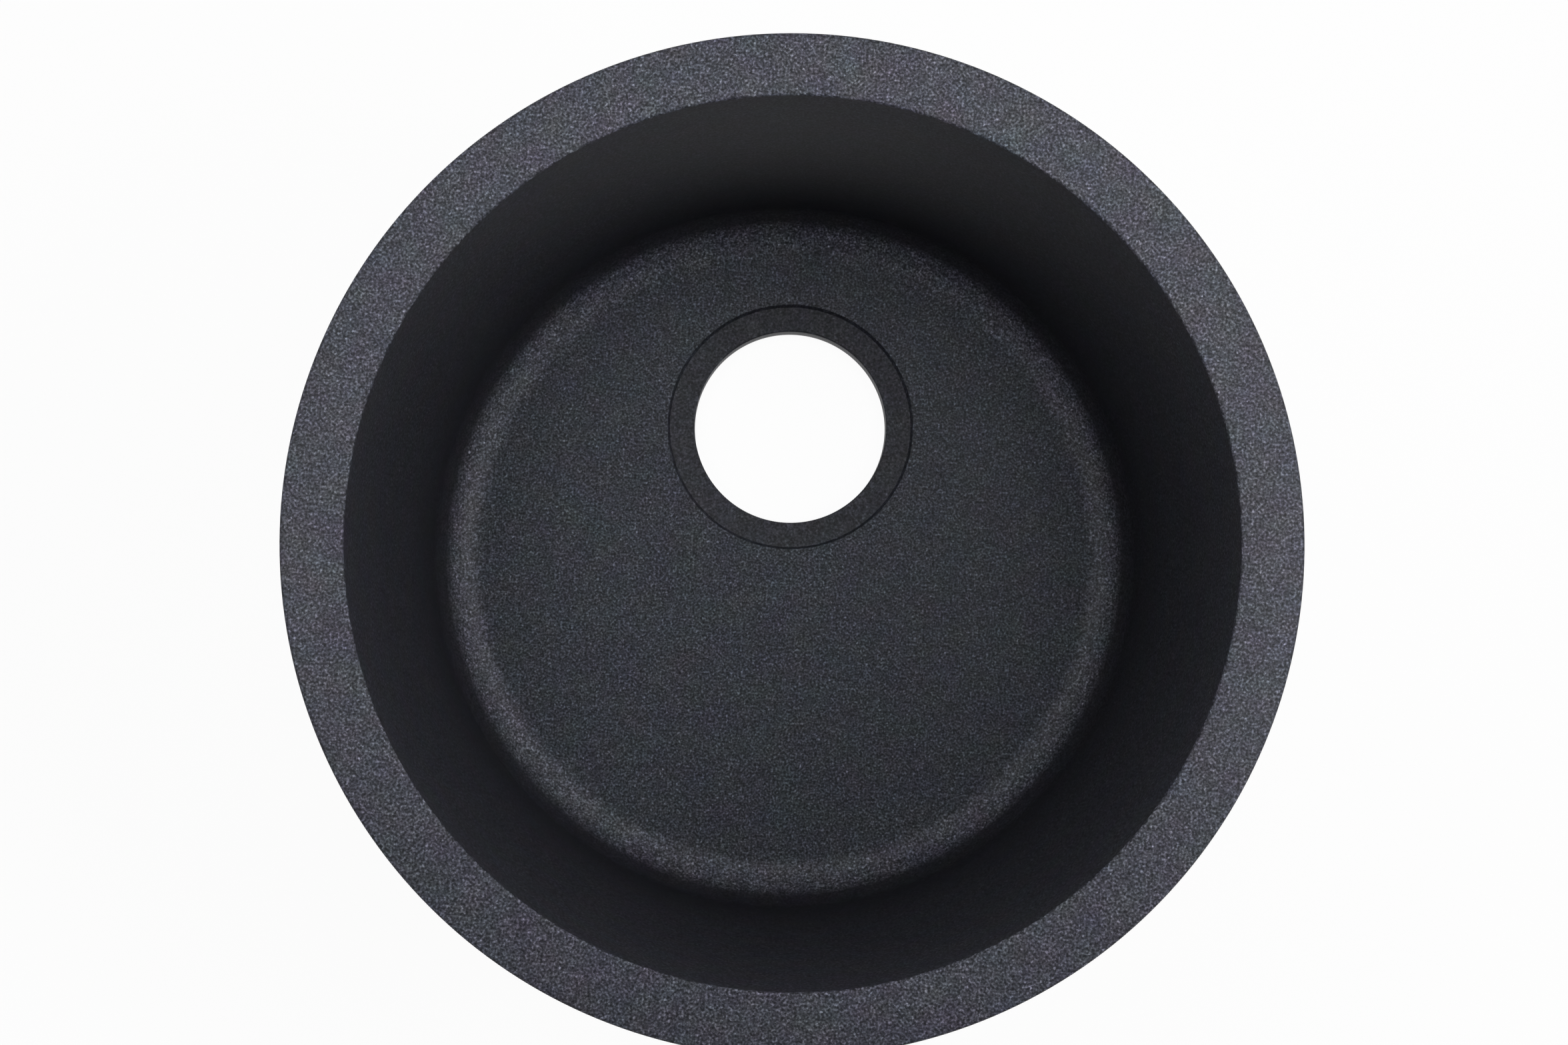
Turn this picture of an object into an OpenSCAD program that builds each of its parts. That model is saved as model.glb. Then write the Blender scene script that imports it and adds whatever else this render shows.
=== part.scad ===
// Round inset sink in black granite composite, with the seal and the swing clips that hold it in a worktop.
// Millimetres, +Z up. The origin is the middle of the flat base, and +Y points to the side with the drain.

/* [Basin] */
// Diameter of the basin at the top of its wall
mouth_d = 355.6; // [330:0.2:380]
// Depth of the basin, from the rim's top to the floor
basin_depth = 178; // [150:1:210]
// Lean of the wall from upright, in degrees
wall_draft = 6; // [2:0.5:8]
// Radius between the floor and the wall, inside
floor_fillet_r = 22; // [15:1:40]
// Radius of the lip, where the rim's top turns down into the basin
lip_r = 1; // [0.5:0.1:3]

/* [Casting] */
// Thickness of the wall, measured level
wall_t = 8; // [7:0.5:10]
// Thickness of the floor
floor_t = 14; // [12:0.5:20]
// Radius between the base and the wall, outside
base_round_r = 34; // [25:1:55]

/* [Rim] */
// Width of the rim's flat top
rim_w = 25.2; // [23:0.2:34]
// Thickness of the rim
rim_t = 10; // [8:0.5:12]
// Radius of the rim's upper outer edge
rim_top_edge_r = 1.5; // [0.5:0.1:3]
// Radius of the rim's lower outer edge
rim_low_edge_r = 1; // [0.5:0.1:3]
// Radius between the wall and the rim's underside
under_rim_r = 5; // [2:0.5:8]

/* [Drain] */
// Diameter of the drain hole
drain_d = 90; // [80:0.5:100]
// Distance of the drain behind the middle of the bowl
drain_offset = 61; // [0:0.5:66]
// Radius of the drain hole's upper edge
drain_edge_r = 0.8; // [0.3:0.1:2]
// Diameter of the recess that takes the strainer's flange
recess_d = 115.2; // [106:0.2:124]
// Depth of the strainer recess
recess_depth = 2.5; // [1.5:0.1:4]
// Width of the sloping step round the strainer recess
recess_step_w = 1.1; // [0.3:0.1:2]

/* [Seal] */
// Thickness of the seal under the rim
seal_t = 2.5; // [1.5:0.1:4]
// Distance of the seal in from the rim's outer edge
seal_setback = 1.5; // [1:0.1:3]
// Distance of the seal out from the worktop's cut-out
seal_to_cutout = 1; // [0.2:0.1:2]

/* [Clamp stations] */
// Number of clamp stations round the rim
stations = 6; // [4:1:8]
// Direction of the first station, in degrees from +X
first_station = 30; // [0:1:60]
// Thickest worktop that the clips reach under
worktop_max = 40; // [34:0.5:43]
// Thinnest worktop that the clips close on
worktop_min = 22; // [20.5:0.5:28]
// Free play between a lowered clip's toe and the thickest worktop
toe_play = 1.5; // [0.5:0.5:4]
// Gap between a raised clip's toe and the level of the bosses' lower ends
boss_to_toe = 2.5; // [1:0.5:4]
// Wall of the boss round the insert
boss_wall = 2.2; // [1.5:0.1:2.6]
// Gap between a clip or a boss and the worktop's cut-out
clip_to_cutout = 1.2; // [0.8:0.1:3]
// Gap between a turning clip's inner end and the bowl's wall
clip_to_wall = 0.6; // [0.4:0.1:2]

/* [Clip] */
// Width of the clip's strip
clip_w = 9.6; // [8.5:0.1:11]
// Thickness of the clip's strip
clip_t = 2.5; // [1.5:0.1:3]
// Reach of the toe from the screw's axis
clip_reach = 20; // [16:0.5:22]
// Height of the toe above the strip
toe_h = 8; // [5:0.5:10]
// Radius inside the clip's bend
clip_bend_r = 1.5; // [0.5:0.1:3]
// Radius of the corners at the clip's inner end
clip_corner_r = 4; // [2:0.1:4.2]
// Width of the notch that leaves two teeth on the toe
toe_notch_w = 4; // [2:0.1:6]
// Depth of the notch that leaves two teeth on the toe
toe_notch_h = 1.6; // [0.5:0.1:3]

/* [Screw, washer and insert] */
// Diameter of the screw's shank over its thread
screw_d = 4; // [3.5:0.1:4.4]
// Length of the screw inside the insert when the clip is lowered
thread_hold = 6.5; // [4:0.5:9]
// Chamfer at the screw's tip
tip_chamfer = 0.5; // [0.2:0.1:1]
// Diameter of the screw's head
head_d = 8; // [7:0.1:8.6]
// Height of the screw's head
head_h = 3.1; // [2.4:0.1:4]
// Radius of the head's outer edge
head_edge_r = 1.6; // [0.5:0.1:2]
// Length across the cross slot in the head
cross_l = 4.4; // [3:0.1:5]
// Width of each arm of the cross slot
cross_w = 0.9; // [0.6:0.1:1.2]
// Depth of the cross slot
cross_h = 1.8; // [1:0.1:2.2]
// Outer diameter of the washer
washer_d = 9; // [8:0.1:9.6]
// Thickness of the washer
washer_t = 0.8; // [0.5:0.1:1.2]
// Outer diameter of the threaded insert
insert_d = 6; // [5.6:0.1:6.6]
// Length of the threaded insert
insert_l = 12; // [8:0.5:14]
// Width of the groove that locks the insert in the casting
insert_groove_w = 2; // [1:0.1:3]
// Depth of the groove that locks the insert in the casting
insert_groove_h = 0.4; // [0.2:0.1:0.5]

/* [Clearances] */
// Radial clearance of the screw in the insert
thread_gap = 0.05; // [0.02:0.01:0.1]
// Radial clearance of the screw in the washer
washer_gap = 0.15; // [0.1:0.05:0.3]
// Radial clearance of the screw in the clip
clip_gap = 0.25; // [0.1:0.05:0.4]
// Radial clearance of the insert in its pocket
insert_gap = 0.02; // [0:0.01:0.05]
// Radial clearance of the screw's tip above the insert
tip_gap = 0.5; // [0.3:0.1:0.8]
// Free depth above the tip of a screw that is fully in
tip_play = 1; // [0.5:0.5:2]
// Play between head, washer and clip along the screw
stack_play = 0.1; // [0.05:0.05:0.3]

/* [Hidden] */
$fn = 144;
mouth_r = mouth_d / 2;
rim_r = mouth_r + rim_w;
lean = tan(wall_draft);
wall_up = 90 - wall_draft;
wall_down = -90 - wall_draft;

// Heights, from the base up
top_z = floor_t + basin_depth;
under_rim_z = top_z - rim_t;
ledge_z = floor_t - recess_depth;
seat_z = under_rim_z - seal_t;
toe_high_z = seat_z - worktop_min;
toe_low_z = seat_z - worktop_max - toe_play;
clip_travel = toe_high_z - toe_low_z;
boss_z = toe_high_z + boss_to_toe;
clip_z = toe_low_z - toe_h - clip_t;
washer_z = clip_z - stack_play - washer_t;
shank_z = washer_z - stack_play;
head_z = shank_z - head_h;
screw_l = boss_z + thread_hold - shank_z;
tip_high_z = shank_z + screw_l + clip_travel;

// Radii, from the wall out
function outer_wall_r(z) = mouth_r + wall_t - (top_z - z) * lean;
floor_corner_r = mouth_r - basin_depth * lean;
clip_swing_r = clip_corner_r + (clip_w / 2 - clip_corner_r) * sqrt(2);
pivot_r = outer_wall_r(toe_high_z) + clip_to_wall + clip_swing_r;
boss_r = insert_d / 2 + boss_wall;
cutout_r = pivot_r + max(clip_w / 2, boss_r) + clip_to_cutout;
seal_in_r = cutout_r + seal_to_cutout;
seal_out_r = rim_r - seal_setback;

function toward(angle) = [cos(angle), sin(angle)];

// The patch between a corner p and an arc of radius r that touches both of its edges.
// The edges leave p at angles a and b, with a the lesser, and the patch runs a little past them.
module corner_patch(p, a, b, r) {
    half = (b - a) / 2;
    middle = (a + b) / 2;
    far = r + 0.5;
    translate(p + r / sin(half) * toward(middle))
        difference() {
            polygon([
                [0, 0],
                far * toward(a - 90),
                far / sin(half) * toward(middle + 180),
                far * toward(b + 90)
            ]);
            circle(r);
        }
}

// Puts its children at clamp station i, with +X pointing away from the bowl's axis
module at_station(i) {
    rotate([0, 0, first_station + (i - 1) * 360 / stations])
        translate([pivot_r, 0, 0])
            children();
}

// Half section of the casting before the basin is cut out of it
module outer_section() {
    past = 5;
    wall_top = [outer_wall_r(under_rim_z), under_rim_z];
    difference() {
        square([rim_r, top_z]);
        difference() {
            polygon([
                wall_top,
                [outer_wall_r(-past), -past],
                [rim_r + past, -past],
                [rim_r + past, under_rim_z]
            ]);
            corner_patch(wall_top, wall_down, 0, under_rim_r);
        }
        corner_patch([outer_wall_r(0), 0], wall_up, 180, base_round_r);
        corner_patch([rim_r, under_rim_z], 90, 180, rim_low_edge_r);
        corner_patch([rim_r, top_z], 180, 270, rim_top_edge_r);
    }
}

// Half section of the basin's hollow, which opens out over the lip
module basin_section() {
    above = 5;
    difference() {
        polygon([
            [0, floor_t],
            [floor_corner_r, floor_t],
            [mouth_r + above * lean, top_z + above],
            [0, top_z + above]
        ]);
        corner_patch([floor_corner_r, floor_t], wall_up, 180, floor_fillet_r);
    }
    corner_patch([mouth_r, top_z], wall_down, 0, lip_r);
}

// Half section of the drain hole with its rounded upper edge, and of the strainer recess above it
module drain_section() {
    past = 1;
    step = recess_step_w / recess_depth;
    polygon([
        [0, -past],
        [drain_d / 2, -past],
        [drain_d / 2, ledge_z],
        [recess_d / 2 - recess_step_w, ledge_z],
        [recess_d / 2 + past * step, floor_t + past],
        [0, floor_t + past]
    ]);
    corner_patch([drain_d / 2, ledge_z], -90, 0, drain_edge_r);
}

// Boss under the rim with its web back to the wall
module insert_boss() {
    boss_h = under_rim_z + rim_t / 2 - boss_z;
    web_l = pivot_r - outer_wall_r(boss_z) + wall_t / 4;
    translate([0, 0, boss_z]) {
        cylinder(h = boss_h, r = boss_r);
        translate([-web_l, -boss_r, 0])
            cube([web_l, 2 * boss_r, boss_h]);
    }
}

// Pocket for the insert, and the narrower hole above it for the screw's tip
module insert_pocket() {
    translate([0, 0, boss_z - 1])
        cylinder(h = insert_l + 1, r = insert_d / 2 + insert_gap);
    translate([0, 0, boss_z])
        cylinder(h = tip_high_z + tip_play - boss_z, r = screw_d / 2 + tip_gap);
}

module bowl() {
    color("#26272a")
        difference() {
            union() {
                difference() {
                    rotate_extrude()
                        outer_section();
                    rotate_extrude()
                        basin_section();
                }
                for (i = [1:stations])
                    at_station(i)
                        insert_boss();
            }
            translate([0, drain_offset, 0])
                rotate_extrude()
                    drain_section();
            for (i = [1:stations])
                at_station(i)
                    insert_pocket();
        }
}

module rim_seal() {
    color("#17181a")
        rotate_extrude()
            translate([seal_in_r, seat_z])
                square([seal_out_r - seal_in_r, seal_t]);
}

module insert(i) {
    groove_r = insert_d / 2 - insert_groove_h;
    color("#b98f3c")
        at_station(i)
            translate([0, 0, boss_z])
                difference() {
                    cylinder(h = insert_l, r = insert_d / 2);
                    translate([0, 0, -1])
                        cylinder(h = insert_l + 2, r = screw_d / 2 + thread_gap);
                    translate([0, 0, (insert_l - insert_groove_w) / 2])
                        difference() {
                            cylinder(h = insert_groove_w, r = insert_d / 2 + 1);
                            translate([0, 0, -1])
                                cylinder(h = insert_groove_w + 2, r = groove_r);
                        }
                }
}

// Half section of the screw, head down, with its rounded head and chamfered tip
module screw_section() {
    head_r = head_d / 2;
    shank_r = screw_d / 2;
    difference() {
        polygon([
            [0, 0],
            [head_r, 0],
            [head_r, head_h],
            [shank_r, head_h],
            [shank_r, head_h + screw_l - tip_chamfer],
            [shank_r - tip_chamfer, head_h + screw_l],
            [0, head_h + screw_l]
        ]);
        corner_patch([head_r, 0], 90, 180, head_edge_r);
    }
}

module screw(i) {
    color("#b9bcc0")
        at_station(i)
            translate([0, 0, head_z])
                difference() {
                    rotate_extrude()
                        screw_section();
                    for (turn = [0, 90])
                        rotate([0, 0, turn])
                            translate([-cross_l / 2, -cross_w / 2, -1])
                                cube([cross_l, cross_w, cross_h + 1]);
                }
}

module washer(i) {
    color("#c3c6c9")
        at_station(i)
            translate([0, 0, washer_z])
                difference() {
                    cylinder(h = washer_t, r = washer_d / 2);
                    translate([0, 0, -1])
                        cylinder(h = washer_t + 2, r = screw_d / 2 + washer_gap);
                }
}

// Side view of the clip, along X from its inner end to its upturned toe
module clip_side() {
    top = clip_t + toe_h;
    inner_x = clip_reach - clip_t;
    difference() {
        translate([-clip_w, 0])
            square([clip_reach + clip_w, top]);
        corner_patch([clip_reach, 0], 90, 180, clip_bend_r + clip_t);
        difference() {
            translate([-clip_w - 1, clip_t])
                square([clip_w + 1 + inner_x, toe_h + 1]);
            corner_patch([inner_x, clip_t], 90, 180, clip_bend_r);
        }
    }
}

// Outline of the clip from above: a strip with rounded corners at its inner end
module clip_outline() {
    half_w = clip_w / 2;
    difference() {
        translate([-half_w, -half_w])
            square([clip_reach + clip_w, clip_w]);
        corner_patch([-half_w, -half_w], 0, 90, clip_corner_r);
        corner_patch([-half_w, half_w], -90, 0, clip_corner_r);
    }
}

// Notch across the toe that leaves a tooth at each side
module toe_notch() {
    rotate([90, 0, 90])
        linear_extrude(clip_t + 2)
            polygon([
                [-toe_notch_w, toe_notch_h],
                [0, -toe_notch_h],
                [toe_notch_w, toe_notch_h]
            ]);
}

module clip(i) {
    top = clip_t + toe_h;
    color("#b4b7ba")
        at_station(i)
            translate([0, 0, clip_z])
                rotate([0, 0, 90])
                    difference() {
                        intersection() {
                            rotate([90, 0, 0])
                                linear_extrude(clip_w + 2, center = true)
                                    clip_side();
                            translate([0, 0, -1])
                                linear_extrude(top + 2)
                                    clip_outline();
                        }
                        translate([0, 0, -1])
                            cylinder(h = clip_t + 2, r = screw_d / 2 + clip_gap);
                        translate([clip_reach - clip_t - 1, 0, top])
                            toe_notch();
                    }
}

bowl();
rim_seal();
for (i = [1:stations]) {
    insert(i);
    screw(i);
    washer(i);
    clip(i);
}
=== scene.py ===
"""Looks of the round granite sink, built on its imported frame. Metres, +Z up, +Y towards the drain."""
import math

import bpy
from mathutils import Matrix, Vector


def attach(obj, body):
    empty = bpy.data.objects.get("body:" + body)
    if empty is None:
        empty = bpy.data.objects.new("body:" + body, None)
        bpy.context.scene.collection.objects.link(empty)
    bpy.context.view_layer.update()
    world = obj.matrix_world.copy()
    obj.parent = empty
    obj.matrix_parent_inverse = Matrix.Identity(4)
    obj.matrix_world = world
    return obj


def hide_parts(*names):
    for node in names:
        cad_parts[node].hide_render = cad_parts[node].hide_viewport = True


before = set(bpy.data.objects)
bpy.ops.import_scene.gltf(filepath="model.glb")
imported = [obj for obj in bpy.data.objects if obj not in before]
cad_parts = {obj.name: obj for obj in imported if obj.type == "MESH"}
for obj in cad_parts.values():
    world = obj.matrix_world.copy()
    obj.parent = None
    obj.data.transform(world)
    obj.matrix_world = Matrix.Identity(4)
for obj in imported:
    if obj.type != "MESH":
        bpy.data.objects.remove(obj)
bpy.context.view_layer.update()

# ---------------------------------------------------------------------------------------------
# Bowl. One casting of quartz grit in black acrylic resin, poured between the halves of a metal
# mould. The mould's polished half gives the rim and the basin a fine even grain, and its other
# half leaves the back dull and rougher. Six bosses under the rim hold the clamp inserts.
MM = 0.001  # lengths are written in millimetres
close_by = 0.01  # and a point is found by its place to within this
mouth_r, rim_r, wall_t, lean = 177.8, 203.0, 8.0, math.tan(math.radians(6))
top_z, under_rim_z, floor_z, ledge_z = 192.0, 182.0, 14.0, 11.5
lip_round, rim_top_round, rim_low_round, under_rim_round = 1.0, 1.5, 1.0, 5.0
floor_round, base_round = 22.0, 34.0
drain_y, drain_r, recess_r, recess_step_w = 61.0, 45.0, 57.6, 1.1
recess_foot_round, drain_edge_round = 0.3, 0.8
boss_r, boss_z, boss_top_z, boss_edge_round = 5.2, 160.0, 187.0, 0.5
pivot_r, insert_r, insert_l, insert_gap, tip_hole_r = 187.9053, 3.0, 12.0, 0.02, 2.5
ring_steps = 256
stations, first_station, station_step = range(1, 7), math.radians(30), math.radians(60)


def station_angle(i):
    return first_station + station_step * (i - 1)


def outer_wall_r(z):
    return mouth_r + wall_t - (top_z - z) * lean


def name_new(name):
    """Names the piece that the last operator added."""
    piece = bpy.context.object
    piece.name = piece.data.name = name
    return piece


def open_with(piece, kind, wanted=lambda points, part: True):
    """Opens a piece in edit mode with only the wanted verts, edges or faces selected. Points are in mm."""
    bpy.ops.object.select_all(action="DESELECT")
    piece.select_set(True)
    bpy.context.view_layer.objects.active = piece
    bpy.ops.object.mode_set(mode="EDIT")
    bpy.ops.mesh.select_mode(type=kind)
    bpy.ops.mesh.select_all(action="DESELECT")
    bpy.ops.object.mode_set(mode="OBJECT")
    mesh = piece.data
    if kind == "VERT":
        for v in mesh.vertices:
            v.select = bool(wanted([v.co / MM], v))
    else:
        for part in mesh.edges if kind == "EDGE" else mesh.polygons:
            part.select = bool(wanted([mesh.vertices[i].co / MM for i in part.vertices], part))
    bpy.ops.object.mode_set(mode="EDIT")


def close():
    bpy.ops.object.mode_set(mode="OBJECT")


def draw_section(name, points, y=0.0):
    """A line of edges through points (radius, height), drawn beside the axis that it will turn about."""
    bpy.ops.object.select_all(action="DESELECT")
    bpy.ops.mesh.primitive_plane_add(size=MM)
    piece = name_new(name)
    bpy.ops.object.mode_set(mode="EDIT")
    bpy.ops.mesh.select_mode(type="VERT")
    bpy.ops.mesh.select_all(action="SELECT")
    bpy.ops.mesh.merge(type="CENTER")
    bpy.ops.transform.translate(value=(points[0][0] * MM, y * MM, points[0][1] * MM))
    for (x, z), (next_x, next_z) in zip(points, points[1:]):
        step = ((next_x - x) * MM, 0, (next_z - z) * MM)
        bpy.ops.mesh.extrude_vertices_move(TRANSFORM_OT_translate={"value": step})
    close()
    return piece


def round_corner(piece, x, z, radius, segments):
    """Rounds a section line's corner to a radius."""
    here = next(v for v in piece.data.vertices if math.hypot(v.co.x / MM - x, v.co.z / MM - z) < close_by)
    ends = [piece.data.vertices[i].co for e in piece.data.edges if here.index in e.vertices
            for i in e.vertices if i != here.index]
    inner_angle = (ends[0] - here.co).angle(ends[1] - here.co)
    index = here.index
    open_with(piece, "VERT", lambda points, part: part.index == index)
    bpy.ops.mesh.bevel(offset=radius * MM / math.tan(inner_angle / 2), offset_type="OFFSET",
                       segments=segments, affect="VERTICES")
    close()


def turn_section(piece, steps, y=0.0):
    """Spins a section line all the way round its upright axis."""
    open_with(piece, "VERT")
    bpy.ops.mesh.spin(steps=steps, angle=2 * math.pi, use_auto_merge=True,
                      center=(0, y * MM, 0), axis=(0, 0, 1))
    bpy.ops.mesh.select_all(action="SELECT")
    bpy.ops.mesh.remove_doubles(threshold=0.001 * MM)
    close()


def join_into(piece, *others):
    """Joins other pieces into a piece."""
    bpy.ops.object.select_all(action="DESELECT")
    for o in (piece, *others):
        o.select_set(True)
    bpy.context.view_layer.objects.active = piece
    bpy.ops.object.join()


def modify(piece, kind, **settings):
    """Adds a modifier to a piece and applies it."""
    bpy.ops.object.select_all(action="DESELECT")
    piece.select_set(True)
    bpy.context.view_layer.objects.active = piece
    modifier = piece.modifiers.new(kind.lower(), kind)
    for setting, value in settings.items():
        setattr(modifier, setting, value)
    bpy.ops.object.modifier_apply(modifier=modifier.name)


def cut_or_add(piece, tool, operation):
    """Cuts a tool's shape out of a piece, or adds it, and removes the tool."""
    modify(piece, "BOOLEAN", object=tool, operation=operation, solver="MANIFOLD")
    bpy.data.objects.remove(tool)


def face_outwards(piece, smooth_to=35):
    """Merges doubles, points the faces outwards and smooths all but the sharp edges."""
    open_with(piece, "VERT")
    bpy.ops.mesh.remove_doubles(threshold=0.0005 * MM)
    bpy.ops.mesh.normals_make_consistent(inside=False)
    close()
    bpy.ops.object.shade_smooth_by_angle(angle=math.radians(smooth_to))


def copy_to_stations(piece, name):
    """Copies a piece that lies along +X to each clamp station, each with its own mesh, and removes it."""
    bpy.ops.object.select_all(action="DESELECT")
    piece.select_set(True)
    bpy.context.view_layer.objects.active = piece
    bpy.ops.object.transform_apply(location=True, rotation=True, scale=True)
    copies = []
    for i in stations:
        bpy.ops.object.select_all(action="DESELECT")
        piece.select_set(True)
        bpy.context.view_layer.objects.active = piece
        bpy.ops.object.duplicate()
        copy = name_new(f"{name}_{i}")
        copy.rotation_euler.z = station_angle(i)
        bpy.ops.object.transform_apply(location=True, rotation=True, scale=True)
        copies.append(copy)
    bpy.data.objects.remove(piece)
    return copies


# The casting's whole wall is one section line: basin, lip, rim, back and base.
floor_corner_r = mouth_r - (top_z - floor_z) * lean
line_start_r, line_end_r = 118.0, 112.0
casting = draw_section("bowl_casting", [
    (line_start_r, floor_z), (floor_corner_r, floor_z), (mouth_r, top_z), (rim_r, top_z), (rim_r, under_rim_z),
    (outer_wall_r(under_rim_z), under_rim_z), (outer_wall_r(0), 0), (line_end_r, 0),
])
round_corner(casting, floor_corner_r, floor_z, floor_round, 24)
round_corner(casting, mouth_r, top_z, lip_round, 6)
round_corner(casting, rim_r, top_z, rim_top_round, 6)
round_corner(casting, rim_r, under_rim_z, rim_low_round, 4)
round_corner(casting, outer_wall_r(under_rim_z), under_rim_z, under_rim_round, 8)
round_corner(casting, outer_wall_r(0), 0, base_round, 24)
open_with(casting, "VERT", lambda points, part: points[0].x < line_start_r + 1)
bpy.ops.mesh.delete(type="VERT")
close()
turn_section(casting, ring_steps)

drain = draw_section("drain_ring", [
    (recess_r, floor_z), (recess_r - recess_step_w, ledge_z), (drain_r, ledge_z), (drain_r, 0),
], y=drain_y)
round_corner(drain, recess_r - recess_step_w, ledge_z, recess_foot_round, 3)
round_corner(drain, drain_r, ledge_z, drain_edge_round, 6)
turn_section(drain, ring_steps, y=drain_y)
join_into(casting, drain)

# The floor and the base are flat: each one's edge is drawn in to meet the drain's.
for level, meets_r in ((floor_z, recess_r), (0, drain_r)):
    flat_r = max(math.hypot(v.co.x, v.co.y) / MM for v in casting.data.vertices
                 if abs(v.co.z / MM - level) < close_by)
    open_with(casting, "EDGE", lambda points, part: all(
        abs(p.z - level) < close_by and abs(math.hypot(p.x, p.y) - flat_r) < 0.1 for p in points))
    bpy.ops.mesh.extrude_edges_move()
    shrink = meets_r / flat_r
    bpy.ops.transform.resize(value=(shrink, shrink, 1), center_override=(0, 0, 0))
    bpy.ops.transform.translate(value=(0, drain_y * MM, 0))
    close()
face_outwards(casting)

# A boss is a block on the back of the wall, rounded round the insert, with its lower edge eased.
web_l = pivot_r - outer_wall_r(boss_z) + wall_t / 4
bpy.ops.object.select_all(action="DESELECT")
bpy.ops.mesh.primitive_cube_add(size=1)
boss = name_new("boss")
boss.scale = ((web_l + boss_r) * MM, 2 * boss_r * MM, (boss_top_z - boss_z) * MM)
boss.location = ((pivot_r + (boss_r - web_l) / 2) * MM, 0, (boss_z + boss_top_z) / 2 * MM)
bpy.ops.object.transform_apply(location=True, rotation=True, scale=True)
open_with(boss, "EDGE", lambda points, part: all(p.x > pivot_r for p in points)
          and abs(points[0].z - points[1].z) > 1)
bpy.ops.mesh.bevel(offset=(boss_r - 0.001) * MM, offset_type="OFFSET", segments=12, affect="EDGES")
close()
open_with(boss, "EDGE", lambda points, part: all(abs(p.z - boss_z) < close_by for p in points)
          and not all(p.x < pivot_r - web_l + close_by for p in points))
bpy.ops.mesh.bevel(offset=boss_edge_round * MM, offset_type="OFFSET", segments=3, affect="EDGES")
close()
bosses = copy_to_stations(boss, "boss")
join_into(*bosses)
cut_or_add(casting, bosses[0], "UNION")

# Each boss has a pocket for its insert, and a narrower hole above it for the screw's tip. The tool
# starts 1 mm below the boss, so that it cuts through.
pocket_r = insert_r + insert_gap
bpy.ops.object.select_all(action="DESELECT")
bpy.ops.mesh.primitive_cylinder_add(vertices=48, radius=pocket_r * MM, depth=(insert_l + 1) * MM,
                                    location=(pivot_r * MM, 0, (boss_z - 1 + (insert_l + 1) / 2) * MM))
pocket = name_new("pocket")
bpy.ops.object.transform_apply(location=True, rotation=True, scale=True)
open_with(pocket, "FACE", lambda points, part: part.normal.z > 0.9)
bpy.ops.mesh.inset(thickness=(pocket_r - tip_hole_r) * MM)
bpy.ops.mesh.extrude_region_move(
    TRANSFORM_OT_translate={"value": (0, 0, (boss_top_z - boss_z - insert_l) * MM)})
close()
pockets = copy_to_stations(pocket, "pocket")
join_into(*pockets)
cut_or_add(casting, pockets[0], "DIFFERENCE")
face_outwards(casting)


def linear(hex_colour):
    """A linear colour from an sRGB hex value."""
    parts = [int(hex_colour[i:i + 2], 16) / 255 for i in (1, 3, 5)]
    return (*[c / 12.92 if c <= 0.04045 else ((c + 0.055) / 1.055) ** 2.4 for c in parts], 1.0)


def new_material(name):
    """An empty node material with its output, and its tree."""
    material = bpy.data.materials.new(name)
    material.use_nodes = True
    material.node_tree.nodes.clear()
    return material, material.node_tree


def add_node(tree, kind, inputs=None, **settings):
    """Adds a node with its settings. An input is a value, or the output socket that feeds it."""
    node = tree.nodes.new("ShaderNode" + kind)
    for setting, value in settings.items():
        setattr(node, setting, value)
    for name, value in (inputs or {}).items():
        socket = next(s for s in node.inputs if s.enabled and name in (s.identifier, s.name))
        if isinstance(value, bpy.types.NodeSocket):
            tree.links.new(value, socket)
        else:
            socket.default_value = value
    return node


def wear(piece, *materials):
    """Gives a piece its materials in place of any others."""
    piece.data.materials.clear()
    for material in materials:
        piece.data.materials.append(material)


# Quartz grit of 0.3 to 1 mm in black acrylic resin. Each grain is a lighter or darker grey under a
# skin of resin, so the eye gets a fine soft salt and pepper grain on near-black.
granite, tree = new_material("moulded granite composite")
point = add_node(tree, "TexCoord").outputs["Object"]
fine_grain_w, grit_w = 1.0, 0.9
fine = add_node(tree, "TexNoise", {
    "Vector": point, "Scale": 1 / (fine_grain_w * MM), "Detail": 1.0, "Roughness": 0.5,
})
grit = add_node(tree, "TexVoronoi", {"Vector": point, "Scale": 1 / (grit_w * MM)})
grit_parts = add_node(tree, "SeparateColor", {"Color": grit.outputs["Color"]})
grit_share = add_node(tree, "Math", {
    "Value": grit_parts.outputs["Red"], "Value_001": 0.22,
}, operation="MULTIPLY")
grain = add_node(tree, "Math", {
    "Value": fine.outputs["Fac"], "Value_001": grit_share.outputs[0],
}, operation="ADD")
# Painted glints: one grain in thirty is painted paler, standing in for clear quartz that glints through the
# skin.
painted_glint = add_node(tree, "MapRange", {
    "Value": grit_parts.outputs["Green"], "From Min": 0.965, "From Max": 0.975, "To Max": 0.11,
})
grain = add_node(tree, "Math", {"Value": grain.outputs[0], "Value_001": painted_glint.outputs[0]}, operation="ADD")
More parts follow.
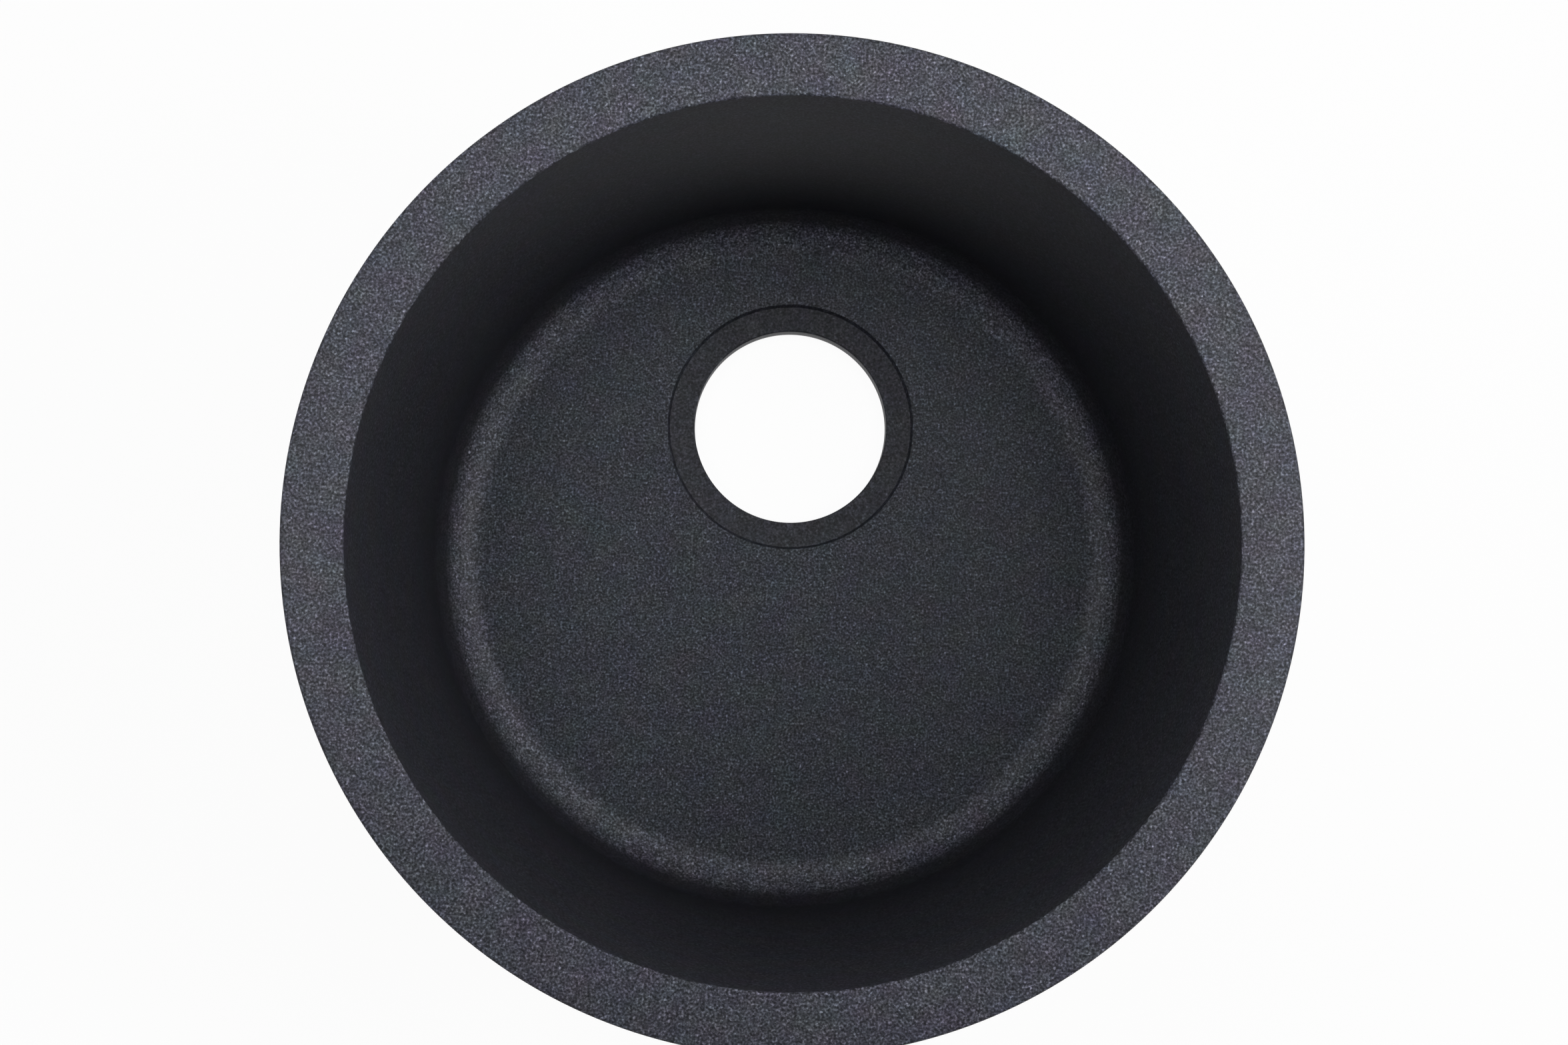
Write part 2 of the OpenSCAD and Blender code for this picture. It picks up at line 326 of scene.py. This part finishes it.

# Painted light and shade by height in mm, and how much redder than the resin the mix is there. The
# rim is painted lighter, the band where the floor turns up gets a painted highlight, and the wall's foot
# and the ledge round the drain get painted shade. The grain's contrast follows the same ramp.
painted_light_from_z = 11
height = add_node(tree, "SeparateXYZ", {"Vector": point}).outputs["Z"]
level = add_node(tree, "MapRange", {"Value": height, "From Min": painted_light_from_z * MM, "From Max": top_z * MM})
tint_and_painted_light = add_node(tree, "ValToRGB", {"Fac": level.outputs[0]})
ramp = tint_and_painted_light.color_ramp
# Each stop: height in mm, how bright the painted light makes the mix there, and how much redder it is.
tint_and_painted_light_by_height = (
    (13, 0.48, 1.12), (14, 0.66, 1.02), (14.6, 0.98, 1.12), (18.8, 0.94, 1.14), (23, 0.32, 1.16),
    (40, 0.25, 1.14), (90, 0.375, 1.14), (190.5, 0.36, 1.14), (191.6, 0.9, 1.13),
)
last = len(tint_and_painted_light_by_height) - 1
for n, (z, share, redder) in enumerate(tint_and_painted_light_by_height):
    position = (z - painted_light_from_z) / (top_z - painted_light_from_z)
    stop = ramp.elements[0] if n == 0 else ramp.elements[-1] if n == last else ramp.elements.new(position)
    stop.position, stop.color = position, (share * redder, share, share, 1)
tint_and_painted_light = tint_and_painted_light.outputs["Color"]
# The mix's colour times the painted light and tint by height.
mix_shade = add_node(tree, "MixRGB", {
    "Fac": 1.0, "Color1": tint_and_painted_light, "Color2": linear("#3a3f47"),
}, blend_type="MULTIPLY")

# The grains' shades spread evenly as ratios, so a few are several times paler than the rest.
mean_grain, mean_loss = 0.61, 0.12
# The grain's contrast is set by the same painted light by height.
spread = add_node(tree, "MapRange", {
    "Value": tint_and_painted_light, "From Min": 0.3, "From Max": 0.7, "To Min": 2.0, "To Max": 4.8,
})
grain_power = add_node(tree, "Math", {"Value": grain.outputs[0], "Value_001": -mean_grain}, operation="ADD")
grain_power = add_node(tree, "Math", {
    "Value": grain_power.outputs[0], "Value_001": spread.outputs[0], "Value_002": -mean_loss,
}, operation="MULTIPLY_ADD")
grain_shade = add_node(tree, "Math", {"Value": grain_power.outputs[0]}, operation="EXPONENT")
speckled = add_node(tree, "VectorMath", {
    "Vector": mix_shade.outputs["Color"], "Scale": grain_shade.outputs[0],
}, operation="SCALE")

# Faint clouds of teal, blue and brown, 10 to 30 mm across.
clouds = add_node(tree, "TexNoise", {"Vector": point, "Scale": 1 / (14 * MM), "Detail": 3})
tinted = add_node(tree, "MixRGB", {"Fac": 0.17, "Color1": speckled.outputs["Vector"],
                                   "Color2": clouds.outputs["Color"]}, blend_type="OVERLAY")
skin = add_node(tree, "Bump", {"Height": grain.outputs[0], "Strength": 0.25, "Distance": 0.05 * MM})
shader = add_node(tree, "BsdfPrincipled", {
    "Base Color": tinted.outputs["Color"], "Normal": skin.outputs["Normal"],
    "Roughness": 0.5, "Specular IOR Level": 0.16,
})
add_node(tree, "OutputMaterial", {"Surface": shader.outputs[0]})

# The back is the same mix with a dull skin as it left the mould: mottled greys 5 to 20 mm across
# where the mix flowed, pits of about 1 mm whose grey varies at random and is darker where the bump
# sinks (painted shade in the pits), and no polish.
granite_back, tree = new_material("as-cast granite composite back")
point = add_node(tree, "TexCoord").outputs["Object"]
flow = add_node(tree, "TexNoise", {
    "Vector": point, "Scale": 1 / (18 * MM), "Detail": 6, "Roughness": 0.6, "Distortion": 0.6,
})
flow_shade = add_node(tree, "ValToRGB", {"Fac": flow.outputs["Fac"]})
flow_shade.color_ramp.elements[0].position = 0.3
flow_shade.color_ramp.elements[0].color = linear("#26282b")
flow_shade.color_ramp.elements[1].position = 0.7
flow_shade.color_ramp.elements[1].color = linear("#3c3e41")
grit = add_node(tree, "TexNoise", {"Vector": point, "Scale": 1 / (1.0 * MM), "Detail": 2})
# The pits' grey varies at random and is darker where their bump sinks: painted shade in the pits.
grit_tone_and_pit_shade = add_node(tree, "MapRange", {
    "Value": grit.outputs["Fac"], "From Min": 0.3, "From Max": 0.7, "To Min": 0.6, "To Max": 1.4,
})
back_shade = add_node(tree, "VectorMath", {
    "Vector": flow_shade.outputs["Color"], "Scale": grit_tone_and_pit_shade.outputs[0],
}, operation="SCALE")
back_gloss = add_node(tree, "MapRange", {
    "Value": flow.outputs["Fac"], "From Min": 0.3, "From Max": 0.7, "To Min": 0.68, "To Max": 0.85,
})
pits = add_node(tree, "Bump", {"Height": grit.outputs["Fac"], "Strength": 0.6, "Distance": 0.25 * MM})
waves = add_node(tree, "Bump", {
    "Height": flow.outputs["Fac"], "Normal": pits.outputs["Normal"], "Strength": 0.4, "Distance": 0.6 * MM,
})
shader = add_node(tree, "BsdfPrincipled", {
    "Base Color": back_shade.outputs["Vector"], "Normal": waves.outputs["Normal"],
    "Roughness": back_gloss.outputs[0], "Specular IOR Level": 0.3,
})
add_node(tree, "OutputMaterial", {"Surface": shader.outputs[0]})
wear(casting, granite, granite_back)


def on_the_back(face):
    """True for the faces that the mould's rough half made."""
    x, y, z = (c / MM for c in face.center)
    out = math.hypot(x, y)
    inward = -(face.normal.x * x + face.normal.y * y) / max(out, 1e-6)
    in_the_drain = math.hypot(x, y - drain_y) < recess_r and z > 0.5
    on_the_rim = z > top_z - 1.6 or out > rim_r - 1
    in_the_basin = out < mouth_r + 0.7 and z > 10 and (inward > 0.02 or face.normal.z > 0.02)
    return not (in_the_drain or on_the_rim or in_the_basin)


for face in casting.data.polygons:
    face.material_index = int(on_the_back(face))
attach(casting, "bowl")
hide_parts("bowl")

# ---------------------------------------------------------------------------------------------
# Rim seal. A strip of black EPDM foam with a sticky back, laid round under the rim by hand, with
# its two cut ends pushed together. The rim squeezes it on the worktop, which keeps water out.
seal_in_r, seal_out_r, seal_low_z, seal_edge_round = 195.3053, 201.5, 179.5, 0.7
seal = draw_section("foam_seal", [
    (seal_in_r, under_rim_z), (seal_in_r, seal_low_z), (seal_out_r, seal_low_z), (seal_out_r, under_rim_z),
    (seal_in_r, under_rim_z),
])
round_corner(seal, seal_in_r, seal_low_z, seal_edge_round, 4)
round_corner(seal, seal_out_r, seal_low_z, seal_edge_round, 4)
turn_section(seal, ring_steps)
face_outwards(seal)

# Closed cells of about 0.2 mm, drawn at 0.35 mm so that they show, give a dull black with pin pricks.
# Each cell is painted darker towards its middle, where the bump sinks its pit: painted shade in the pits.
foam, tree = new_material("black EPDM foam")
point = add_node(tree, "TexCoord").outputs["Object"]
cells = add_node(tree, "TexVoronoi", {"Vector": point, "Scale": 1 / (0.35 * MM)})
foam_tone_and_pit_shade = add_node(tree, "ValToRGB", {"Fac": cells.outputs["Distance"]})
foam_tone_and_pit_shade.color_ramp.elements[0].color = linear("#0b0b0c")
foam_tone_and_pit_shade.color_ramp.elements[1].color = linear("#2a2a2c")
foam_tone_and_pit_shade.color_ramp.elements[1].position = 0.7
pores = add_node(tree, "Bump", {"Height": cells.outputs["Distance"], "Strength": 0.5, "Distance": 0.1 * MM})
shader = add_node(tree, "BsdfPrincipled", {
    "Base Color": foam_tone_and_pit_shade.outputs["Color"], "Normal": pores.outputs["Normal"],
    "Roughness": 0.9, "Specular IOR Level": 0.25,
})
add_node(tree, "OutputMaterial", {"Surface": shader.outputs[0]})
wear(seal, foam)
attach(seal, "bowl")
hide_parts("rim_seal")

# ---------------------------------------------------------------------------------------------
# Inserts. Turned brass bushes with a thread inside. The resin sets round the straight knurls and
# the groove between them, so a bush neither turns nor pulls out. Only its lower end shows.
bore_r, groove_r, knurl_r, teeth, bore_chamfer = 2.05, 2.6, 2.84, 30, 0.3
insert_top_z, groove_z, groove_top_z = boss_z + insert_l, boss_z + 5, boss_z + 7
insert_top_round, insert_low_round = 0.3, 0.2
insert = draw_section("insert", [
    (bore_r, boss_z + bore_chamfer), (bore_r, insert_top_z), (insert_r, insert_top_z),
    (insert_r, groove_top_z), (groove_r, groove_top_z), (groove_r, groove_z), (insert_r, groove_z),
    (insert_r, boss_z), (bore_r + bore_chamfer, boss_z), (bore_r, boss_z + bore_chamfer),
])
round_corner(insert, insert_r, insert_top_z, insert_top_round, 3)
round_corner(insert, insert_r, boss_z, insert_low_round, 3)
turn_section(insert, 2 * teeth)


def between_teeth(points, part):
    """True for every second line of the outer wall, which is drawn in to part the teeth of the knurl."""
    turn = math.atan2(points[0].y, points[0].x) / math.pi * teeth
    return math.hypot(points[0].x, points[0].y) > insert_r - 0.05 and round(turn) % 2 == 1


open_with(insert, "VERT", between_teeth)
bpy.ops.transform.resize(value=(knurl_r / insert_r, knurl_r / insert_r, 1), center_override=(0, 0, 0))
close()
face_outwards(insert, smooth_to=20)
insert.location.x = pivot_r * MM
inserts = copy_to_stations(insert, "brass_insert")

# Bright yellow metal from the lathe, clouded with a little brown tarnish every 1.5 mm or so.
brass, tree = new_material("turned brass")
point = add_node(tree, "TexCoord").outputs["Object"]
tarnish = add_node(tree, "TexNoise", {"Vector": point, "Scale": 1 / (1.5 * MM), "Detail": 4})
brass_shade = add_node(tree, "ValToRGB", {"Fac": tarnish.outputs["Fac"]})
brass_shade.color_ramp.elements[0].position = 0.3
brass_shade.color_ramp.elements[0].color = linear("#b08a45")
brass_shade.color_ramp.elements[1].position = 0.7
brass_shade.color_ramp.elements[1].color = linear("#d8b568")
brass_gloss = add_node(tree, "MapRange", {"Value": tarnish.outputs["Fac"], "To Min": 0.28, "To Max": 0.45})
shader = add_node(tree, "BsdfPrincipled", {
    "Base Color": brass_shade.outputs["Color"], "Roughness": brass_gloss.outputs["Result"], "Metallic": 1.0,
})
add_node(tree, "OutputMaterial", {"Surface": shader.outputs[0]})
for i, piece in zip(stations, inserts):
    wear(piece, brass)
    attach(piece, "bowl")
    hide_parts(f"insert_{i}")

# ---------------------------------------------------------------------------------------------
# Screws. Stainless M4 pan heads with a rolled thread and a cross recess, driven up from below, so
# each one hangs head down. The thread runs all the way to the head.
head_z, shank_z, screw_tip_z, head_r = 123.4, 126.5, 166.5, 4.0
head_round, head_rim_round, tip_chamfer = 1.6, 0.15, 0.5
core_r, crest_r, pitch, thread_turns = 1.6, 2.0, 0.7, 55
screw = draw_section("screw", [
    (0, head_z), (head_r, head_z), (head_r, shank_z), (core_r, shank_z),
    (core_r, screw_tip_z - tip_chamfer), (core_r - tip_chamfer, screw_tip_z), (0, screw_tip_z),
])
round_corner(screw, head_r, head_z, head_round, 8)
round_corner(screw, head_r, shank_z, head_rim_round, 2)
turn_section(screw, 48)
face_outwards(screw)

# The cross recess narrows as it goes into the head. Its tool starts 0.5 mm outside the head.
cross_l, cross_w, cross_depth, cross_narrowing = 4.4, 0.9, 1.8, 0.55
wing_h = cross_depth + 0.5
for turned in (0, math.pi / 2):
    bpy.ops.object.select_all(action="DESELECT")
    bpy.ops.mesh.primitive_cube_add(size=1)
    wing = name_new("wing")
    wing.scale = (cross_l * MM, cross_w * MM, wing_h * MM)
    wing.location.z = (head_z + cross_depth - wing_h / 2) * MM
    wing.rotation_euler.z = turned
    bpy.ops.object.transform_apply(location=True, rotation=True, scale=True)
    open_with(wing, "FACE", lambda points, part: part.normal.z > 0.9)
    bpy.ops.transform.resize(value=(cross_narrowing, cross_narrowing, 1), center_override=(0, 0, 0))
    close()
    cut_or_add(screw, wing, "DIFFERENCE")

# The thread is one ridge wound up the shank from the head to just short of the tip. Its foot lies
# 0.1 mm inside the shank, so that the two join.
ridge_foot_r, ridge_foot_w, crest_w = core_r - 0.1, 0.6, 0.08
ridge_z, crest_z = shank_z + 0.15, shank_z + 0.41
ridge = draw_section("ridge", [
    (ridge_foot_r, ridge_z), (crest_r, crest_z), (crest_r, crest_z + crest_w),
    (ridge_foot_r, ridge_z + ridge_foot_w), (ridge_foot_r, ridge_z),
])
open_with(ridge, "VERT")
bpy.ops.mesh.remove_doubles(threshold=0.001 * MM)
close()
modify(ridge, "SCREW", axis="Z", angle=2 * math.pi, screw_offset=pitch * MM, iterations=thread_turns,
       steps=20, render_steps=20, use_merge_vertices=False)
open_with(ridge, "VERT", lambda points, part: False)
bpy.ops.mesh.select_non_manifold()
bpy.ops.mesh.fill_holes(sides=0)
close()
face_outwards(ridge)
cut_or_add(screw, ridge, "UNION")
face_outwards(screw, smooth_to=30)
screw.location.x = pivot_r * MM
screws = copy_to_stations(screw, "pan_head_screw")

# A warm grey metal, bright where the rolls burnished the thread, with faint smears of oil.
stainless, tree = new_material("rolled stainless steel")
point = add_node(tree, "TexCoord").outputs["Object"]
smears = add_node(tree, "TexNoise", {"Vector": point, "Scale": 1 / (2 * MM), "Detail": 5, "Roughness": 0.6})
steel_gloss = add_node(tree, "MapRange", {"Value": smears.outputs["Fac"], "To Min": 0.2, "To Max": 0.4})
steel_shade = add_node(tree, "ValToRGB", {"Fac": smears.outputs["Fac"]})
steel_shade.color_ramp.elements[0].position = 0.3
steel_shade.color_ramp.elements[0].color = linear("#b4b3ae")
steel_shade.color_ramp.elements[1].position = 0.7
steel_shade.color_ramp.elements[1].color = linear("#d2d2cf")
shader = add_node(tree, "BsdfPrincipled", {
    "Base Color": steel_shade.outputs["Color"], "Roughness": steel_gloss.outputs["Result"], "Metallic": 1.0,
})
add_node(tree, "OutputMaterial", {"Surface": shader.outputs[0]})
for i, piece in zip(stations, screws):
    wear(piece, stainless)
    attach(piece, f"screw_{i}")
    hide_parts(f"screw_{i}")

# ---------------------------------------------------------------------------------------------
# Washers. Plain stamped rings of zinc plated steel, rounded at one face by the punch, between
# each screw head and its clip.
washer_z, washer_t, washer_r, washer_bore_r = 126.6, 0.8, 4.5, 2.15
washer_low_round, washer_top_round, washer_bore_round = 0.3, 0.08, 0.15
washer = draw_section("washer", [
    (washer_bore_r, washer_z), (washer_r, washer_z), (washer_r, washer_z + washer_t),
    (washer_bore_r, washer_z + washer_t), (washer_bore_r, washer_z),
])
round_corner(washer, washer_r, washer_z, washer_low_round, 4)
round_corner(washer, washer_r, washer_z + washer_t, washer_top_round, 2)
round_corner(washer, washer_bore_r, washer_z + washer_t, washer_bore_round, 3)
turn_section(washer, 64)
face_outwards(washer)
washer.location.x = pivot_r * MM
washers = copy_to_stations(washer, "plain_washer")

# A cool bluish grey metal, clouded by the plating bath every few millimetres, with a fine frost.
zinc, tree = new_material("bright zinc plated steel")
point = add_node(tree, "TexCoord").outputs["Object"]
clouds = add_node(tree, "TexNoise", {
    "Vector": point, "Scale": 1 / (4 * MM), "Detail": 6, "Roughness": 0.65,
})
zinc_shade = add_node(tree, "ValToRGB", {"Fac": clouds.outputs["Fac"]})
zinc_shade.color_ramp.elements[0].position = 0.3
zinc_shade.color_ramp.elements[0].color = linear("#a7afb8")
zinc_shade.color_ramp.elements[1].position = 0.7
zinc_shade.color_ramp.elements[1].color = linear("#cdcfcb")
grit = add_node(tree, "TexNoise", {"Vector": point, "Scale": 1 / (0.25 * MM), "Detail": 3})
zinc_gloss = add_node(tree, "MapRange", {"Value": clouds.outputs["Fac"], "To Min": 0.3, "To Max": 0.5})
zinc_skin = add_node(tree, "Bump", {"Height": grit.outputs["Fac"], "Strength": 0.3, "Distance": 0.02 * MM})
shader = add_node(tree, "BsdfPrincipled", {
    "Base Color": zinc_shade.outputs["Color"], "Roughness": zinc_gloss.outputs["Result"], "Metallic": 1.0,
    "Normal": zinc_skin.outputs["Normal"],
})
add_node(tree, "OutputMaterial", {"Surface": shader.outputs[0]})
for i, piece in zip(stations, washers):
    wear(piece, zinc)
    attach(piece, f"washer_{i}")
    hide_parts(f"washer_{i}")

# ---------------------------------------------------------------------------------------------
# Clips. Pressed from 2.5 mm zinc plated steel strip: cut with round inner corners, punched for the
# screw, and bent up into a toe whose two teeth bite the underside of the worktop.
clip_z, clip_w, clip_t, clip_reach, toe_h = 127.5, 9.6, 2.5, 20.0, 8.0
clip_hole_r, clip_corner_r, bend_r, notch_w, notch_h, clip_edge_round = 2.25, 4.0, 1.5, 4.0, 1.6, 0.2
toe_x = clip_reach - clip_t
toe_z = clip_z + clip_t + toe_h
bpy.ops.object.select_all(action="DESELECT")
bpy.ops.mesh.primitive_cube_add(size=1)
clip = name_new("clip")
clip.scale = ((clip_reach + clip_w / 2) * MM, clip_w * MM, clip_t * MM)
clip.location = ((clip_reach - clip_w / 2) / 2 * MM, 0, (clip_z + clip_t / 2) * MM)
bpy.ops.object.transform_apply(location=True, rotation=True, scale=True)
open_with(clip, "VERT")
bpy.ops.mesh.bisect(plane_co=(toe_x * MM, 0, 0), plane_no=(1, 0, 0))
close()
open_with(clip, "FACE", lambda points, part: part.normal.z > 0.9
          and min(p.x for p in points) > toe_x - close_by)
bpy.ops.mesh.extrude_region_move(TRANSFORM_OT_translate={"value": (0, 0, toe_h * MM)})
close()
open_with(clip, "VERT")
bpy.ops.mesh.dissolve_limited(angle_limit=math.radians(1))
close()
bends = ((clip_reach, clip_z, bend_r + clip_t, 8), (toe_x, clip_z + clip_t, bend_r, 6))
for x, z, radius, segments in bends:
    open_with(clip, "EDGE", lambda points, part: all(
        abs(p.x - x) < close_by and abs(p.z - z) < close_by for p in points))
    bpy.ops.mesh.bevel(offset=radius * MM, offset_type="OFFSET", segments=segments, affect="EDGES")
    close()
open_with(clip, "EDGE", lambda points, part: points[0].y * points[1].y > 0 and all(
    p.x < -clip_w / 2 + close_by and abs(abs(p.y) - clip_w / 2) < close_by for p in points))
bpy.ops.mesh.bevel(offset=clip_corner_r * MM, offset_type="OFFSET", segments=8, affect="EDGES")
close()
for y in (-notch_w / 2, 0, notch_w / 2):
    open_with(clip, "VERT")
    bpy.ops.mesh.bisect(plane_co=(0, y * MM, 0), plane_no=(0, 1, 0))
    close()
open_with(clip, "VERT", lambda points, part: abs(points[0].y) < close_by and points[0].z > toe_z - close_by)
bpy.ops.transform.translate(value=(0, 0, -notch_h * MM))
close()
bpy.ops.object.select_all(action="DESELECT")
bpy.ops.mesh.primitive_cylinder_add(vertices=48, radius=clip_hole_r * MM, depth=3 * clip_t * MM,
                                    location=(0, 0, (clip_z + clip_t / 2) * MM))
punch = name_new("punch")
bpy.ops.object.transform_apply(location=True, rotation=True, scale=True)
cut_or_add(clip, punch, "DIFFERENCE")
face_outwards(clip)
modify(clip, "BEVEL", width=clip_edge_round * MM, segments=2, limit_method="ANGLE",
       angle_limit=math.radians(35))
face_outwards(clip)
clip.rotation_euler.z = math.pi / 2
bpy.ops.object.transform_apply(location=True, rotation=True, scale=True)
clip.location.x = pivot_r * MM
clips = copy_to_stations(clip, "hook_clip")
for i, piece in zip(stations, clips):
    wear(piece, zinc)
    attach(piece, f"clip_{i}")
    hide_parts(f"clip_{i}")

# ---------------------------------------------------------------------------------------------
# Studio. The bowl stands on white paper that runs back to a white horizon. Round soft boxes hang
# over its back half and its sides. The camera is almost straight above.
scene = bpy.context.scene
bpy.ops.object.select_all(action="DESELECT")
bpy.ops.mesh.primitive_plane_add(size=60, location=(0, 0, -0.5 * MM))
floor = name_new("studio_floor")

# Matt white paper. It shows as plain white, and keeps a little of the bowl's soft shadow.
paper, tree = new_material("white backdrop paper")
rays = add_node(tree, "LightPath").outputs
seen = add_node(tree, "Math", {
    "Value": rays["Is Camera Ray"], "Value_001": rays["Is Glossy Ray"],
}, operation="ADD")
seen = add_node(tree, "Math", {
    "Value": seen.outputs[0], "Value_001": rays["Is Transmission Ray"],
}, operation="ADD")
white_share = add_node(tree, "MapRange", {"Value": seen.outputs[0], "To Max": 0.95})
matt = add_node(tree, "BsdfDiffuse", {"Color": linear("#f2f2f2")})
white = add_node(tree, "Emission", {"Color": linear("#ffffff"), "Strength": 1.0})
mixed = add_node(tree, "MixShader", {
    "Fac": white_share.outputs[0], "Shader": matt.outputs[0], "Shader_001": white.outputs[0],
})
add_node(tree, "OutputMaterial", {"Surface": mixed.outputs[0]})
wear(floor, paper)

# White up to about 12 degrees above the horizon, then black towards the ceiling.
world = bpy.data.worlds.new("white horizon")
world.use_nodes = True
tree = world.node_tree
tree.nodes.clear()
direction = add_node(tree, "TexCoord").outputs["Generated"]
height = add_node(tree, "SeparateXYZ", {"Vector": direction}).outputs["Z"]
level = add_node(tree, "MapRange", {
    "Value": height, "From Min": 0.21, "From Max": 0.35, "To Min": 1.0, "To Max": 0.0,
})
sky = add_node(tree, "Background", {"Color": linear("#ffffff"), "Strength": level.outputs[0]})
add_node(tree, "OutputWorld", {"Surface": sky.outputs[0]})
scene.world = world

# Each soft box: its place in metres, its size, and the brightness it gives a white card that faces
# it at the rim. Four stand close over the back half of the bowl, the rest farther off.
near_size, far_size = 0.25, 0.9
for name, place, size, share in (
        ("near_right", (0.3, 0, 0.6), near_size, 0.335),
        ("near_back_right", (0.15, 0.26, 0.6), near_size, 0.305),
        ("near_back_left", (-0.15, 0.26, 0.6), near_size, 0.25),
        ("near_left", (-0.3, 0, 0.6), near_size, 0.31),
        ("far_right", (1.61, 0, 1.65), far_size, 0.42),
        ("far_back_right", (1.14, 1.14, 1.65), far_size, 0.056),
        ("far_left", (-1.61, 0, 1.65), far_size, 0.13)):
    aim = Vector((0, 0, top_z * MM)) - Vector(place)
    data = bpy.data.lights.new(f"soft_box_{name}", "AREA")
    data.shape, data.size = "DISK", size
    data.energy = share * (math.pi * aim.length) ** 2
    lamp = bpy.data.objects.new(f"soft_box_{name}", data)
    scene.collection.objects.link(lamp)
    lamp.location = place
    lamp.rotation_euler = aim.to_track_quat("-Z", "Y").to_euler()
    lamp.visible_camera = False

# The camera's place, turn and lens put the rim, the floor and the drain where the picture has them.
camera = bpy.data.objects.new("camera", bpy.data.cameras.new("camera"))
scene.collection.objects.link(camera)
camera.location = (-0.02265, -0.04384, 1.16557)
camera.rotation_euler = (math.radians(2.916), math.radians(-1.206), math.radians(2.556))
camera.data.sensor_width = 36
camera.data.lens = 56.61
scene.camera = camera
scene.view_settings.view_transform = "Standard"
